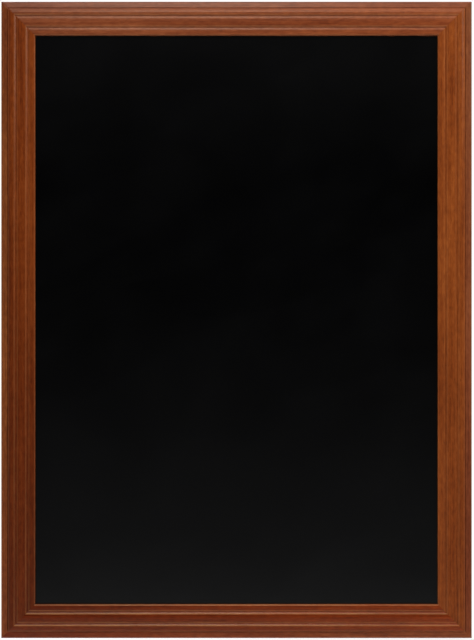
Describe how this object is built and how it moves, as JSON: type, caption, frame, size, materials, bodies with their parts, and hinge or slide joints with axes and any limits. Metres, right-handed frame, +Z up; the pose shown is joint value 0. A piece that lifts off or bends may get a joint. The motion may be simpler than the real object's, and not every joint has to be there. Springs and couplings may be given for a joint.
{
  "type": "wall chalkboard",
  "caption": "Upright wall chalkboard: matt black writing panel in a mitred frame of stepped red-brown wooden moulding, with swinging D-ring hangers and rubber pads on the back.",
  "frame": {"origin": "middle of the board's width and height, on the wall plane that the rubber pads touch", "axes": "+X to the right as seen from the front, +Y from the board into the wall, +Z up"},
  "size_m": [0.567, 0.02, 0.767],
  "materials": {
    "frame_wood": "red-brown stain under satin lacquer",
    "writing_black": "matt black writing laminate",
    "fibre_core": "bare fibreboard",
    "backing_grey": "brown balancing paper",
    "blued_steel": "plain steel strip",
    "zinc_steel": "bright zinc plate",
    "pad_rubber": "matt black rubber"
  },
  "bodies": {
    "root": {"top_rail": "frame_wood", "bottom_rail": "frame_wood", "left_stile": "frame_wood", "right_stile": "frame_wood", "writing_surface": "writing_black", "panel_core": "fibre_core", "panel_backing": "backing_grey", "framing_points": "blued_steel", "corner_wedges_top_left": "blued_steel", "corner_wedges_top_right": "blued_steel", "corner_wedges_bottom_left": "blued_steel", "corner_wedges_bottom_right": "blued_steel", "hanger_strap_left": "zinc_steel", "hanger_strap_right": "zinc_steel", "hanger_screws_left": "zinc_steel", "hanger_screws_right": "zinc_steel", "wall_pad_left": "pad_rubber", "wall_pad_right": "pad_rubber"},
    "ring_left": {"hanger_ring_left": "zinc_steel"},
    "ring_right": {"hanger_ring_right": "zinc_steel"}
  },
  "joints": [
    {"name": "ring_left_swing", "type": "hinge", "parent": "root", "child": "ring_left", "pos_m": [-0.26675, -0.00222, 0.3005], "axis": [1, 0, 0], "range_deg": [0, 178]},
    {"name": "ring_right_swing", "type": "hinge", "parent": "root", "child": "ring_right", "pos_m": [0.26675, -0.00222, 0.3005], "axis": [1, 0, 0], "range_deg": [0, 178]}
  ]
}
